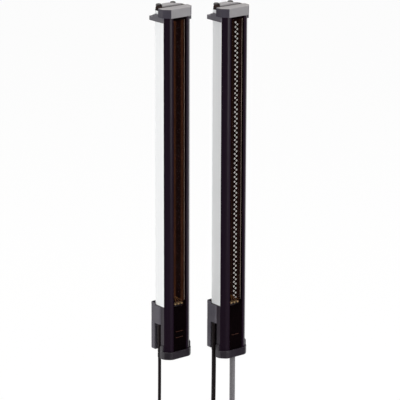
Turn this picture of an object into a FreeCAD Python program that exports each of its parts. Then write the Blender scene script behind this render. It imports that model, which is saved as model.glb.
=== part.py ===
"""A light curtain set: two stick housings that stand side by side, a sender and a receiver.

Each stick is an aluminium profile with a black front frame and a smoked window. Behind the window
two staggered columns of bores carry the beams. A cap closes the top, a clamp holds the stick there by
its back, and a connector housing at the foot lets the cables out, which hang down to their plugs.

A stick is drawn in its own frame: x across, y from the front plane to the back, z up from the underside
of the foot cap. Each sub-part is then placed, so that the row's origin is the mouth of the hole in the
sender's clamp. Lengths are millimetres.
"""

import FreeCAD, Part
import math
import os
import types

import Sketcher

SIZES = {
    # housing section
    "housing_width": 34.0,
    "housing_depth": 27.0,
    "housing_wall": 1.8,
    "front_chamfer": 5.5,
    "side_flat": 14.6,
    "rear_chamfer": 6.5,
    "groove_neck": 6.2,
    "groove_lip": 1.4,
    "groove_width": 10.4,
    "groove_depth": 2.4,
    # beams
    "beam_pitch": 5.0,
    "beam_rows": 60,
    "column_spacing": 2.4,
    "beam_rise": 8.0,
    "beam_to_top": 15.8,
    "bore_size": 2.0,
    # front window and its frame
    "window_opening": 17.0,
    "window_recess": 0.6,
    "window_thickness": 1.4,
    "window_grip": 1.2,
    "bay_width": 20.0,
    "bay_sill": 12.0,
    # optics and electronics
    "carrier_plate": 2.0,
    "carrier_wall": 1.4,
    "carrier_depth": 8.9,
    "carrier_margin": 3.0,
    "carrier_play": 0.4,
    "lens_thickness": 1.8,
    "board_width": 20.8,
    "board_thickness": 1.6,
    "board_foot": 20.0,
    "board_head": 3.0,
    "board_room": 1.0,
    "chip_size": 1.6,
    "chip_height": 1.1,
    "light_drop": 2.4,
    "light_spacing": 4.2,
    "light_size": 2.0,
    "light_foot": 1.6,
    # end caps
    "cap_overhang": 1.8,
    "cap_skirt": 9.2,
    "cap_plate": 2.6,
    "cap_side": 12.4,
    "cap_rise": 1.4,
    "rise_taper": 0.706,
    "rise_front": 1.1,
    "rise_back": 1.6,
    "foot_skirt": 8.2,
    "foot_side": 10.9,
    "foot_tab": 14.7,
    "tab_front": 0.4,
    "tab_rear": 0.2,
    "tab_corner": 1.4,
    "seal_thickness": 0.8,
    "seal_inset": 0.3,
    "edge_break": 0.6,
    # clamp at the top
    "clamp_drop": 14.3,
    "clamp_wall": 2.0,
    "clamp_pad_width": 18.0,
    "clamp_pad_height": 20.0,
    "clamp_hole": 5.5,
    "clamp_hole_rise": 1.7,
    "clamp_reach": 0.7,
    "clamp_corner": 1.5,
    "arm_rise": 2.8,
    "arm_step": 1.2,
    "arm_front": 1.5,
    "arm_rear": 1.4,
    "strap_height": 4.1,
    # connector housing
    "tail_height": 57.3,
    "tail_base": 7.5,
    "tail_wall": 1.2,
    "tail_back": 1.0,
    "tail_corner": 2.0,
    "tail_collar": 2.2,
    "tail_floor": 4.5,
    "collar_front": 0.7,
    "collar_corner": 2.0,
    "cavity_wall": 2.0,
    "outlet_front": 11.6,
    "outlet_width": 9.2,
    "outlet_depth": 5.5,
    "outlet_height": 37.5,
    "outlet_wall": 1.2,
    "outlet_shoulder": 1.0,
    "outlet_slope": 1.4,
    "outlet_reach": 2.9,
    # fasteners
    "screw_size": 2.9,
    "screw_head": 6.2,
    "screw_head_height": 2.0,
    "screw_socket": 2.5,
    "screw_clearance": 0.3,
    "screw_length": 8.0,
    "screw_beside_groove": 4.0,
    "screw_inset": 3.1,
    "head_play": 0.2,
    "sink_depth": 0.5,
    "fit_gap": 0.05,
    # where the receiver stands from the sender
    "receiver_across": 49.7,
    "receiver_forward": 32.7,
}

BORE_SIDES = 4  # a beam bore is square
DRILL_SIDES = 8  # screw shanks, their holes and other small round work have this many sides
TURNED_SIDES = 16  # the plugs' rings


class Size:
    """A number together with the spreadsheet expression that gives it."""

    def __init__(self, number, text=None):
        self.number = float(number)
        self.text = text if text is not None else repr(float(number))

    def __add__(self, other):
        other = as_size(other)
        return Size(self.number + other.number, "(%s + %s)" % (self.text, other.text))

    def __sub__(self, other):
        other = as_size(other)
        return Size(self.number - other.number, "(%s - %s)" % (self.text, other.text))

    def __mul__(self, other):
        other = as_size(other)
        return Size(self.number * other.number, "%s * %s" % (self.text, other.text))

    def __truediv__(self, other):
        other = as_size(other)
        return Size(self.number / other.number, "%s / %s" % (self.text, other.text))

    def __neg__(self):
        return Size(-self.number, "(0 - %s)" % self.text)

    def __radd__(self, other):
        return as_size(other) + self

    def __rsub__(self, other):
        return as_size(other) - self

    def __rmul__(self, other):
        return as_size(other) * self


def as_size(value):
    return value if isinstance(value, Size) else Size(value)


def fill_sheet(doc):
    """The driving dimensions, one row each, and a Size for every one of them."""
    sheet = doc.addObject("Spreadsheet::Sheet", "dims")
    found = {}
    for row, (alias, value) in enumerate(SIZES.items(), start=1):
        sheet.set("A%d" % row, alias)
        sheet.set("B%d" % row, str(value))
        sheet.setAlias("B%d" % row, alias)
        found[alias] = Size(value, "dims." + alias)
    doc.recompute()
    return types.SimpleNamespace(**found)


doc = FreeCAD.newDocument("light_curtain")
d = fill_sheet(doc)

# Section, shared by everything that meets the profile.
half_width = d.housing_width / 2
side_end = d.front_chamfer + d.side_flat
back = d.housing_depth
front_flat = half_width - d.front_chamfer
rear_flat = half_width - d.rear_chamfer
groove_floor = back - d.groove_lip - d.groove_depth
inner_back = groove_floor - d.housing_wall

# Heights, from the underside of the foot cap.
half_pitch = d.beam_pitch / 2
field = d.beam_pitch * (d.beam_rows - 1)
lowest_beam = d.tail_height + d.beam_rise
highest_beam = lowest_beam + half_pitch + field
bar_height = highest_beam + d.beam_to_top
inner_top = bar_height - d.cap_plate
profile_top = inner_top - d.seal_thickness
profile_foot = d.tail_height + d.seal_thickness
frame_foot = d.cap_plate + d.seal_thickness
carrier_foot = lowest_beam - d.carrier_margin
carrier_top = highest_beam + d.carrier_margin
bay_top = carrier_top + 4 * d.fit_gap
light_height = carrier_foot - d.light_drop

# The lowest beam of each column.
LOWEST_BEAMS = [
    (-(d.column_spacing / 2), lowest_beam + half_pitch),
    (d.column_spacing / 2, lowest_beam),
]

# Depths behind the front plane.
window_back = d.window_recess + d.window_thickness
carrier_front = window_back + 2 * d.fit_gap
board_front = carrier_front + d.carrier_depth
clamp_back = back + d.clamp_wall
screw_across = d.groove_width / 2 + d.screw_beside_groove
screw_depth = back - d.screw_inset

# The clamp reaches this low, and its hole is in the middle of its pad.
clamp_foot = bar_height - d.clamp_drop
hole_height = clamp_foot + d.clamp_hole_rise

# The screws run up and down the profile's two screw channels, beside the groove.
SCREW_PLACES = [(screw_across, screw_depth), (-screw_across, screw_depth)]
tapped = d.screw_size + 2 * d.fit_gap
drilled_size = d.screw_size + d.screw_clearance


def drilled(flats):
    return [many_sided(spot, flats, DRILL_SIDES) for spot in SCREW_PLACES]


class Bar:
    """One stick: the name that its sub-parts share, and where its frame lies in the row."""

    def __init__(self, name, across, forward):
        self.name = name
        self.at = (across, -forward - clamp_back, -hole_height)


def place(part, bar, label, local=(0, 0, 0)):
    """Puts a sub-part into the row and gives it the label that names its file."""
    part.Label = "%s_%s" % (bar.name, label)
    for axis, start, shift in zip("xyz", bar.at, local):
        part.setExpression(".Placement.Base." + axis, (as_size(start) + shift).text)
    sub_parts.append(part)
    return part


def new_body(bar, label):
    body = doc.addObject("PartDesign::Body", "%s_%s_body" % (bar.name, label))
    return place(body, bar, label)


def sketch_on(body, role, offset):
    """A sketch parallel to one of the body's own origin planes, that far along its normal."""
    sketch = body.newObject("Sketcher::SketchObject", body.Name + "_sketch")
    plane = [f for f in body.Origin.OriginFeatures if f.Role == role][0]
    sketch.AttachmentSupport = [(plane, "")]
    sketch.MapMode = "FlatFace"
    sketch.setExpression(".AttachmentOffset.Base.z", as_size(offset).text)
    return sketch


def hold(sketch, geometry, end, point):
    """Ties one point of the geometry to the sheet by its two distances from the origin."""
    for kind, value in zip(("DistanceX", "DistanceY"), point):
        value = as_size(value)
        index = sketch.addConstraint(
            Sketcher.Constraint(kind, -1, 1, geometry, end, value.number)
        )
        sketch.setExpression("Constraints[%d]" % index, value.text)


def outline(sketch, points):
    """A closed outline of straight lines through the points."""
    ends = [FreeCAD.Vector(as_size(x).number, as_size(y).number, 0) for x, y in points]
    first = sketch.GeometryCount
    count = len(points)
    for i in range(count):
        line = Part.LineSegment(ends[i], ends[(i + 1) % count])
        sketch.addGeometry(line, False)
    for i in range(count):
        following = first + (i + 1) % count
        sketch.addConstraint(Sketcher.Constraint("Coincident", first + i, 2, following, 1))
    for i in range(count):
        hold(sketch, first + i, 1, points[i])


def circle(sketch, centre, radius):
    radius = as_size(radius)
    spot = FreeCAD.Vector(as_size(centre[0]).number, as_size(centre[1]).number, 0)
    normal = FreeCAD.Vector(0, 0, 1)
    index = sketch.addGeometry(Part.Circle(spot, normal, radius.number), False)
    hold(sketch, index, 3, centre)
    bound = sketch.addConstraint(Sketcher.Constraint("Radius", index, radius.number))
    sketch.setExpression("Constraints[%d]" % bound, radius.text)


def many_sided(spot, flats, sides):
    """The outline of a small round thing: a regular polygon that stands on a flat."""
    x, y = spot
    radius = as_size(flats) / 2 / math.cos(math.pi / sides)
    angles = [2 * math.pi * (k + 0.5) / sides for k in range(sides)]
    return [(x + radius * math.cos(a), y + radius * math.sin(a)) for a in angles]


def draw(sketch, outlines, circles):
    for points in outlines:
        outline(sketch, points)
    for centre, radius in circles:
        circle(sketch, centre, radius)


# A pad grows along its plane's normal, which for the XZ plane is -Y. A pocket cuts the other way.
GROWS_BACKWARDS = {"XY_Plane": False, "XZ_Plane": True, "YZ_Plane": False}


def pad(body, role, start, length, outlines=(), circles=()):
    """Adds material from start to start + length along the plane's row axis."""
    start, length = as_size(start), as_size(length)
    offset = -(start + length) if GROWS_BACKWARDS[role] else start
    sketch = sketch_on(body, role, offset)
    draw(sketch, outlines, circles)
    feature = body.newObject("PartDesign::Pad", body.Name + "_pad")
    feature.Profile = sketch
    feature.setExpression("Length", length.text)
    sketch.Visibility = False
    return feature


def pocket(body, role, start, length, outlines=(), circles=()):
    """Cuts material away from start to start + length along the plane's row axis."""
    start, length = as_size(start), as_size(length)
    offset = -start if GROWS_BACKWARDS[role] else start + length
    sketch = sketch_on(body, role, offset)
    draw(sketch, outlines, circles)
    doc.recompute()
    before = body.Shape.Volume
    feature = body.newObject("PartDesign::Pocket", body.Name + "_pocket")
    feature.Profile = sketch
    feature.setExpression("Length", length.text)
    doc.recompute()
    if not body.Shape.Volume < before:
        raise RuntimeError("%s cuts nothing" % feature.Name)
    return feature


def repeat_up(body, feature, span, count):
    """Repeats a feature along z, count times over the span."""
    pattern = body.newObject("PartDesign::LinearPattern", body.Name + "_pattern")
    pattern.Originals = [feature]
    plane = [f for f in body.Origin.OriginFeatures if f.Role == "XY_Plane"][0]
    pattern.Direction = (plane, [""])
    pattern.setExpression("Length", as_size(span).text)
    pattern.setExpression("Occurrences", as_size(count).text)
    body.Tip = pattern
    return pattern


def edges_of(body, test):
    """Names of the edges of the body, as drawn so far, whose two ends and middle pass the test."""
    doc.recompute()
    feature = body.Tip
    names = []
    for i, edge in enumerate(feature.Shape.Edges, start=1):
        middle = edge.valueAt((edge.FirstParameter + edge.LastParameter) / 2)
        spots = [vertex.Point for vertex in edge.Vertexes] + [middle]
        if all(test(spot) for spot in spots):
            names.append("Edge%d" % i)
    return feature, names


def chamfered(body, size, test):
    """Chamfers the edges that pass the test."""
    base, names = edges_of(body, test)
    feature = body.newObject("PartDesign::Chamfer", body.Name + "_chamfer")
    feature.Base = (base, names)
    feature.setExpression("Size", as_size(size).text)
    doc.recompute()
    return feature


def near(a, b, within=0.01):
    return abs(a - as_size(b).number) < within


def box(bar, label, low, size):
    """A plain block, from its low corner in the stick's frame."""
    part = doc.addObject("Part::Box", "%s_%s_box" % (bar.name, label))
    for name, value in zip(("Length", "Width", "Height"), size):
        part.setExpression(name, as_size(value).text)
    return place(part, bar, label, low)


def mirrored(points):
    """The points, then the same points on the other side, so that they close one outline."""
    return list(points) + [(-x, y) for x, y in reversed(points)]


def plan_outline(inset, depth):
    """The outline of the stick seen from above, inset all round and cut off at that depth."""
    slope = inset * math.tan(math.radians(22.5))
    points = [(front_flat - slope, inset), (half_width - inset, d.front_chamfer + slope)]
    return mirrored(points + [(half_width - inset, depth)])


def full_outline(inset):
    """The same outline with its back and rear chamfers."""
    slope = inset * math.tan(math.radians(22.5))
    points = [
        (front_flat - slope, inset),
        (half_width - inset, d.front_chamfer + slope),
        (half_width - inset, side_end - slope),
        (rear_flat - slope, back - inset),
    ]
    return mirrored(points)


def housing_profile(bar):
    """Extruded aluminium: a U that is open to the front, with a T groove in its back."""
    body = new_body(bar, "housing_profile")
    inner = half_width - d.housing_wall
    section = mirrored(
        [
            (inner, d.front_chamfer),
            (half_width, d.front_chamfer),
            (half_width, side_end),
            (rear_flat, back),
            (d.groove_neck / 2, back),
            (d.groove_neck / 2, back - d.groove_lip),
            (d.groove_width / 2, back - d.groove_lip),
            (d.groove_width / 2, groove_floor),
        ]
    )
    floor = [(-inner, inner_back - d.housing_wall), (d.housing_wall - inner, inner_back)]
    section += floor + [(-x, y) for x, y in reversed(floor)]
    pad(body, "XY_Plane", profile_foot, profile_top - profile_foot, [section] + drilled(tapped))


def front_frame(bar):
    """Black front: two lips and their chamfers, joined behind the window at both ends."""
    body = new_body(bar, "front_frame")
    opening = d.window_opening / 2
    grip = opening + d.window_grip + 2 * d.fit_gap
    seat = window_back + d.fit_gap
    section = mirrored(
        [
            (grip, seat),
            (grip, d.window_recess),
            (opening, d.window_recess),
            (opening, 0),
            (front_flat, 0),
            (half_width, d.front_chamfer),
        ]
    )
    pad(body, "XY_Plane", frame_foot, profile_top - frame_foot, [section])
    bay = d.bay_width / 2
    sides = [(-bay, d.bay_sill), (bay, d.bay_sill), (bay, bay_top), (-bay, bay_top)]
    pocket(body, "XZ_Plane", seat, d.front_chamfer - seat, [sides])


def front_window(bar):
    """Smoked plate that slides into the frame's grooves."""
    half = d.window_opening / 2 + d.window_grip
    low = (-half, d.window_recess, frame_foot)
    size = (half * 2, d.window_thickness, profile_top - frame_foot)
    box(bar, "front_window", low, size)


def optics_carrier(bar):
    """Black channel whose front plate has two staggered columns of beam bores."""
    body = new_body(bar, "optics_carrier")
    half = d.bay_width / 2 - d.carrier_play
    inner = half - d.carrier_wall
    plate_back = carrier_front + d.carrier_plate
    section = mirrored(
        [
            (half, carrier_front),
            (half, board_front),
            (inner, board_front),
            (inner, plate_back),
        ]
    )
    pad(body, "XY_Plane", carrier_foot, carrier_top - carrier_foot, [section])
    bores = [many_sided(spot, d.bore_size, BORE_SIDES) for spot in LOWEST_BEAMS]
    cut = pocket(body, "XZ_Plane", carrier_front, d.carrier_plate, bores)
    repeat_up(body, cut, field, d.beam_rows)


def lens_strip(bar):
    """Clear strip with the lenses, seated on the back of the carrier's plate."""
    half = d.bay_width / 2 - d.carrier_play - d.carrier_wall - 2 * d.fit_gap
    low = (-half, carrier_front + d.carrier_plate, carrier_foot)
    box(bar, "lens_strip", low, (half * 2, d.lens_thickness, carrier_top - carrier_foot))


def circuit_board(bar):
    low = (-(d.board_width / 2), board_front, d.board_foot)
    size = (d.board_width, d.board_thickness, carrier_top + d.board_head - d.board_foot)
    box(bar, "circuit_board", low, size)


def beam_chips(bar, label):
    """One chip on the board behind each bore."""
    body = new_body(bar, label)
    chips = [many_sided(spot, d.chip_size, BORE_SIDES) for spot in LOWEST_BEAMS]
    first = pad(body, "XZ_Plane", board_front - d.chip_height, d.chip_height, chips)
    doc.recompute()
    repeat_up(body, first, field, d.beam_rows)


def status_light_guide(bar):
    """Three light pipes on one foot, which stands on the board below the optics."""
    body = new_body(bar, "status_light_guide")
    half = d.light_spacing + d.light_size
    low, high = light_height - d.light_size, light_height + d.light_size
    foot = d.light_foot
    plate = [(-half, low), (half, low), (half, high), (-half, high)]
    pad(body, "XZ_Plane", board_front - foot, foot, [plate])
    places = [(d.light_spacing * k, light_height) for k in (-1, 0, 1)]
    pipes = [many_sided(spot, d.light_size, DRILL_SIDES) for spot in places]
    pad(body, "XZ_Plane", carrier_front, board_front - foot - carrier_front, pipes)


def cap_outline(depth):
    """The caps' outline: it stands proud of the stick at the front and the sides."""
    slope = d.cap_overhang * math.tan(math.radians(22.5))
    points = [
        (front_flat + slope, -d.cap_overhang),
        (half_width + d.cap_overhang, d.front_chamfer - slope),
        (half_width + d.cap_overhang, depth),
    ]
    return mirrored(points)


def top_end_cap(bar):
    """Moulded hood over the front of the stick, with a plate over the profile behind it."""
    body = new_body(bar, "top_end_cap")
    hood_foot = bar_height - d.cap_skirt
    pad(body, "XY_Plane", hood_foot, d.cap_skirt, [cap_outline(d.cap_side)])
    plate = full_outline(d.seal_inset)
    pad(body, "XY_Plane", inner_top, d.cap_plate, [plate])
    # The rise narrows to the back, and its slanting sides pass the screw heads at an even distance.
    slant = math.hypot(1, d.rise_taper.number)
    level = screw_across - (d.screw_head / 2 + d.head_play) * slant
    ends = (d.cap_side + d.rise_front, back - d.rise_back)
    rise = mirrored([(level + (screw_depth - y) * d.rise_taper, y) for y in ends])
    pad(body, "XY_Plane", inner_top + 1, d.cap_plate - 1 + d.cap_rise, [rise])
    inside = plan_outline(-d.fit_gap, d.cap_side)
    pocket(body, "XY_Plane", hood_foot, d.cap_skirt - d.cap_plate, [inside])
    pocket(body, "XY_Plane", inner_top, d.cap_plate, drilled(drilled_size))
    top, front = bar_height.number, d.cap_side.number
    chamfered(body, d.edge_break, lambda p: near(p.z, top) and p.y < front - 0.01)


def top_seal(bar):
    """Gasket between the profile's end and the cap."""
    body = new_body(bar, "top_seal")
    outlines = [full_outline(d.seal_inset)] + drilled(drilled_size)
    pad(body, "XY_Plane", profile_top, d.seal_thickness, outlines)


def screws(bar, label, head_foot, tip):
    """A pair of pan head screws with hexagon sockets. A tip above the heads is for screws that go up."""
    body = new_body(bar, label)
    height = d.screw_head_height
    heads = [many_sided(spot, d.screw_head, TURNED_SIDES) for spot in SCREW_PLACES]
    pad(body, "XY_Plane", head_foot, height, heads)
    points_up = tip.number > head_foot.number
    shank_foot = head_foot + height if points_up else tip
    shank_top = tip if points_up else head_foot
    pad(body, "XY_Plane", shank_foot, shank_top - shank_foot, drilled(d.screw_size))
    socket_foot = head_foot if points_up else head_foot + height * 0.4
    sockets = [many_sided(spot, d.screw_socket, 6) for spot in SCREW_PLACES]
    pocket(body, "XY_Plane", socket_foot, height * 0.6, sockets)


def mounting_clamp(bar):
    """Strap round the back of the stick, with stepped arms and a pad with the fixing hole."""
    body = new_body(bar, "mounting_clamp")
    outer = half_width + d.cap_overhang
    front = d.front_chamfer - d.clamp_reach
    strap = [
        (outer, front),
        (outer, clamp_back),
        (-outer, clamp_back),
        (-outer, front),
        (-half_width, front),
        (-half_width, back),
        (half_width, back),
        (half_width, front),
    ]
    skirt = bar_height - d.cap_skirt
    arm_top = skirt + d.arm_rise
    pad(body, "XY_Plane", clamp_foot, arm_top - clamp_foot, [strap])
    steps = [
        (front - 1, skirt),
        (d.cap_side, skirt),
        (d.cap_side, arm_top + 1),
        (front - 1, arm_top + 1),
    ]
    rear_steps = [
        (side_end - d.arm_front, arm_top + 1),
        (side_end - d.arm_front, arm_top - d.arm_step),
        (side_end + d.arm_rear, arm_top - d.arm_step),
        (side_end + d.arm_rear, clamp_foot + d.strap_height),
        (clamp_back + 1, clamp_foot + d.strap_height),
        (clamp_back + 1, arm_top + 1),
    ]
    pocket(body, "YZ_Plane", -outer, outer * 2, [steps, rear_steps])
    half = d.clamp_pad_width / 2
    low = hole_height - d.clamp_pad_height / 2
    high = hole_height + d.clamp_pad_height / 2
    face = [(-half, low), (half, low), (half, high), (-half, high)]
    pad(body, "XZ_Plane", back, d.clamp_wall, [face])
    hole = [((0, hole_height), d.clamp_hole / 2)]
    pocket(body, "XZ_Plane", back, d.clamp_wall, (), hole)
    wide, rear = outer.number, clamp_back.number
    chamfered(body, d.clamp_corner, lambda p: near(abs(p.x), wide) and near(p.y, rear))


def bottom_end_cap(bar, outlets):
    """Tray under the front of the stick, with a tab up each side."""
    body = new_body(bar, "bottom_end_cap")
    pad(body, "XY_Plane", 0, d.foot_skirt, [cap_outline(d.foot_side)])
    inside = plan_outline(-d.fit_gap, d.foot_side)
    pocket(body, "XY_Plane", d.cap_plate, d.foot_skirt - d.cap_plate, [inside])
    front, rear = d.front_chamfer + d.tab_front, d.foot_side - d.tab_rear
    tab = [
        (front, d.foot_skirt - 1),
        (rear, d.foot_skirt - 1),
        (rear, d.foot_tab),
        (front, d.foot_tab),
    ]
    inner = half_width + d.fit_gap
    thick = d.cap_overhang - d.fit_gap
    pad(body, "YZ_Plane", inner, thick, [tab])
    pad(body, "YZ_Plane", -inner - thick, thick, [tab])
    top, ends = d.foot_tab.number, (front.number, rear.number)
    corner = d.tab_corner
    chamfered(body, corner, lambda p: near(p.z, top) and min(abs(p.y - e) for e in ends) < 0.01)
    chamfered(body, d.edge_break, lambda p: near(p.z, 0) and p.y < d.foot_side.number - 0.01)
    if outlets:
        pocket(body, "XY_Plane", 0, d.cap_plate, (), outlets)


def bottom_seal(bar, outlets):
    """Gasket on the floor of the foot cap."""
    body = new_body(bar, "bottom_seal")
    outlines = [plan_outline(d.seal_inset, d.foot_side - d.seal_inset)]
    pad(body, "XY_Plane", d.cap_plate, d.seal_thickness, outlines, outlets)


def connector_housing(bar):
    """Moulded foot of the stick: it closes the profile and lets the cables out."""
    body = new_body(bar, "connector_housing")
    wide = half_width + d.tail_wall
    rear = back + d.tail_back
    shoulder = d.outlet_front + d.outlet_shoulder
    around = [
        (half_width, d.front_chamfer),
        (half_width, shoulder - d.outlet_slope),
        (wide, shoulder),
        (wide, rear - d.tail_corner),
        (wide - d.tail_corner, rear),
    ]
    pad(body, "XY_Plane", d.tail_base, d.tail_height - d.tail_base, [mirrored(around)])
    nose = mirrored([(half_width, d.front_chamfer), (half_width, d.foot_side)])
    pad(body, "XY_Plane", frame_foot, d.tail_base + 1 - frame_foot, [nose])
    collar_front = side_end - d.collar_front
    collar = [
        (wide, collar_front),
        (wide, rear - d.tail_corner),
        (wide - d.tail_corner, rear),
        (-(wide - d.tail_corner), rear),
        (-wide, rear - d.tail_corner),
        (-wide, collar_front),
        (-half_width, collar_front),
        (-half_width, side_end),
        (-rear_flat, back),
        (rear_flat, back),
        (half_width, side_end),
        (half_width, collar_front),
    ]
    pad(body, "XY_Plane", d.tail_height, d.tail_collar, [collar])
    room = wide - d.outlet_depth - d.outlet_wall
    cavity = mirrored([(room, d.front_chamfer + d.cavity_wall), (room, side_end)])
    cavity_foot = d.tail_base + d.tail_floor
    pocket(body, "XY_Plane", cavity_foot, d.tail_height - cavity_foot, [cavity])
    outlet_back = d.outlet_front + d.outlet_width
    outlet = [
        (d.outlet_front, d.tail_base - 6),
        (outlet_back, d.tail_base - 6),
        (outlet_back, d.outlet_height),
        (d.outlet_front, d.outlet_height),
    ]
    pocket(body, "YZ_Plane", -wide, d.outlet_depth, [outlet])
    pocket(body, "XY_Plane", d.tail_base, d.tail_height - d.tail_base, drilled(drilled_size))
    sunk = d.screw_head_height + d.sink_depth
    pocket(body, "XY_Plane", d.tail_base, sunk, drilled(d.screw_head + 2 * d.head_play))
    low, rear_edge = d.tail_base.number, rear.number
    chamfered(body, d.edge_break, lambda p: near(p.z, low) and near(p.y, rear_edge))
    step, rise = collar_front.number, d.tail_height.number
    corner = half_width.number - 0.01
    size = d.collar_corner
    chamfered(body, size, lambda p: near(p.z, rise) and near(p.y, step) and abs(p.x) > corner)


def connector_seal(bar):
    """Gasket between the connector housing and the profile."""
    body = new_body(bar, "connector_seal")
    front = d.front_chamfer + d.seal_inset
    points = [
        (half_width - d.seal_inset, front),
        (half_width - d.seal_inset, side_end),
        (rear_flat, back - d.seal_inset),
    ]
    room = d.board_width / 2 + d.board_room
    opening = mirrored([(room, front + d.cavity_wall), (room, inner_back - d.housing_wall)])
    outlines = [mirrored(points), opening] + drilled(drilled_size)
    pad(body, "XY_Plane", d.tail_height, d.seal_thickness, outlines)


def cable_sleeve(bar, label, spot, top, foot, radius):
    """Strain relief that hangs out of the housing and ends where the cable begins."""
    part = doc.addObject("Part::Cylinder", "%s_%s_rod" % (bar.name, label))
    part.setExpression("Radius", as_size(radius).text)
    part.setExpression("Height", (as_size(top) - foot).text)
    place(part, bar, label, (spot[0], spot[1], foot))


def plug_tail(bar, label, spot, top, cable):
    """Moulded grip of the round plug. It hangs with the cable at its top."""
    body = new_body(bar, label)
    tail = PLUG_TAIL_LENGTH
    neck_top = tail + PLUG_GRIP_LENGTH
    lengths = (
        (top - tail, tail, cable * 0.5 + 1.3),
        (top - neck_top, PLUG_GRIP_LENGTH, PLUG_GRIP),
        (top - neck_top - PLUG_NECK_LENGTH, PLUG_NECK_LENGTH, PLUG_NECK),
    )
    for foot, length, radius in lengths:
        ring = many_sided(spot, radius * 2, TURNED_SIDES)
        pad(body, "XY_Plane", foot, length, [ring])


PLUG_TAIL_LENGTH = 5.0
PLUG_GRIP_LENGTH = 23.0
PLUG_NECK_LENGTH = 10.0
PLUG_GRIP = 5.7
PLUG_NECK = 4.7
PLUG_INSERT = 4.3
NUT_BORE = PLUG_NECK + 0.15
NUT_RADIUS = 7.3
NUT_LENGTH = 10.7
THREAD_RADIUS = 5.95
THREAD_LENGTH = 10.0


def plug_nut(bar, label, spot, top):
    """Coupling nut: a ring to turn, with a sleeve for the thread below it."""
    body = new_body(bar, label)
    bore = many_sided(spot, NUT_BORE * 2, TURNED_SIDES)
    ring_foot = top - PLUG_TAIL_LENGTH - PLUG_GRIP_LENGTH - NUT_LENGTH
    ring = many_sided(spot, NUT_RADIUS * 2, TURNED_SIDES)
    sleeve = many_sided(spot, THREAD_RADIUS * 2, TURNED_SIDES)
    pad(body, "XY_Plane", ring_foot, NUT_LENGTH, [ring, bore])
    pad(body, "XY_Plane", ring_foot - THREAD_LENGTH, THREAD_LENGTH, [sleeve, bore])


def plug_insert(bar, label, spot, top):
    """Contact carrier on the front of the plug."""
    body = new_body(bar, label)
    ring = many_sided(spot, PLUG_INSERT * 2, TURNED_SIDES)
    pad(body, "XY_Plane", top - plug_length - INSERT_LENGTH, INSERT_LENGTH, [ring])


plug_length = PLUG_TAIL_LENGTH + PLUG_GRIP_LENGTH + PLUG_NECK_LENGTH
INSERT_LENGTH = 6.0
PIN_LENGTH = 4.5
PIN_SIZE = 1.0
PIN_CIRCLE = 2.75


def plug_pins(bar, label, spot, top, count):
    """Contact pins, standing out of the insert."""
    body = new_body(bar, label)
    x, y = spot
    turns = [2 * math.pi * (k + 0.5) / count for k in range(count)]
    places = [(x + PIN_CIRCLE * math.cos(a), y + PIN_CIRCLE * math.sin(a)) for a in turns]
    pins = [many_sided(place, PIN_SIZE, BORE_SIDES) for place in places]
    foot = top - plug_length - INSERT_LENGTH - PIN_LENGTH
    pad(body, "XY_Plane", foot, PIN_LENGTH, pins)


def cable(bar, label, points, diameter):
    """A cable that hangs: straight runs joined by arcs as wide as the runs allow."""
    route = [FreeCAD.Vector(*(as_size(v).number for v in point)) for point in points]
    wire, radii = arc_route(route)
    ring = Part.Wire(Part.Circle(route[0], route[1] - route[0], diameter / 2).toShape())
    tube = wire.makePipeShell([ring], True, False)
    length = wire.Length
    expected = math.pi * diameter**2 / 4 * length
    print("%s_%s length %.1f mm" % (bar.name, label, length), end=", ")
    print("radii", [round(r, 1) for r in radii], end=", ")
    print("volume %.4f of its section times its length" % (tube.Volume / expected))
    part = doc.addObject("Part::Feature", "%s_%s_tube" % (bar.name, label))
    part.Shape = tube
    place(part, bar, label)


def arc_route(route):
    """A wire through the route whose corners are arcs of 0.45 of the shorter run."""
    edges, radii = [], []
    start = route[0]
    for before, corner, after in zip(route, route[1:], route[2:]):
        into, out = corner - before, after - corner
        shorter = min(into.Length, out.Length)
        turn = into.getAngle(out)
        reach = 0.45 * shorter
        radii.append(reach / math.tan(turn / 2))
        first = corner - into.normalize() * reach
        last = corner + out.normalize() * reach
        inwards = (out - into).normalize()
        middle = corner + inwards * (radii[-1] / math.cos(turn / 2) - radii[-1])
        edges.append(Part.LineSegment(start, first).toShape())
        edges.append(Part.Arc(first, middle, last).toShape())
        start = last
    edges.append(Part.LineSegment(start, route[-1]).toShape())
    return Part.Wire(edges), radii


outlet_side = d.outlet_reach - half_width - d.tail_wall

# Each cable: its diameter and its strain relief's, where it leaves the stick, between which heights
# the strain relief is, how many contacts its plug has, and the points that it passes below there.
CABLES = {
    "sender": [
        {
            "diameter": 3.4,
            "sleeve": 4.6,
            "exit": (outlet_side, d.outlet_front + 4.0),
            "roof": d.outlet_height,
            "foot": Size(0.0),
            "contacts": 5,
            "bends": [(0, 0, -44.0), (-1.1, 0.9, -104.0), (-1.1, 0.9, -148.0)],
        }
    ],
    "receiver": [
        {
            "diameter": 4.7,
            "sleeve": 5.0,
            "exit": (outlet_side, d.outlet_front + 6.4),
            "roof": d.outlet_height,
            "foot": Size(6.0),
            "contacts": 8,
            "bends": [(0, 0, -46.0), (-1.0, 1.2, -104.0), (-1.0, 1.2, -150.0)],
        },
        {
            "diameter": 6.0,
            "sleeve": 7.0,
            "exit": (Size(0.0), d.foot_side / 2),
            "roof": frame_foot,
            "foot": Size(-0.6),
            "contacts": 4,
            "bends": [(0, 0, -46.0), (0.9, 1.2, -106.0), (0.9, 1.2, -152.0)],
        },
    ],
}


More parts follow.
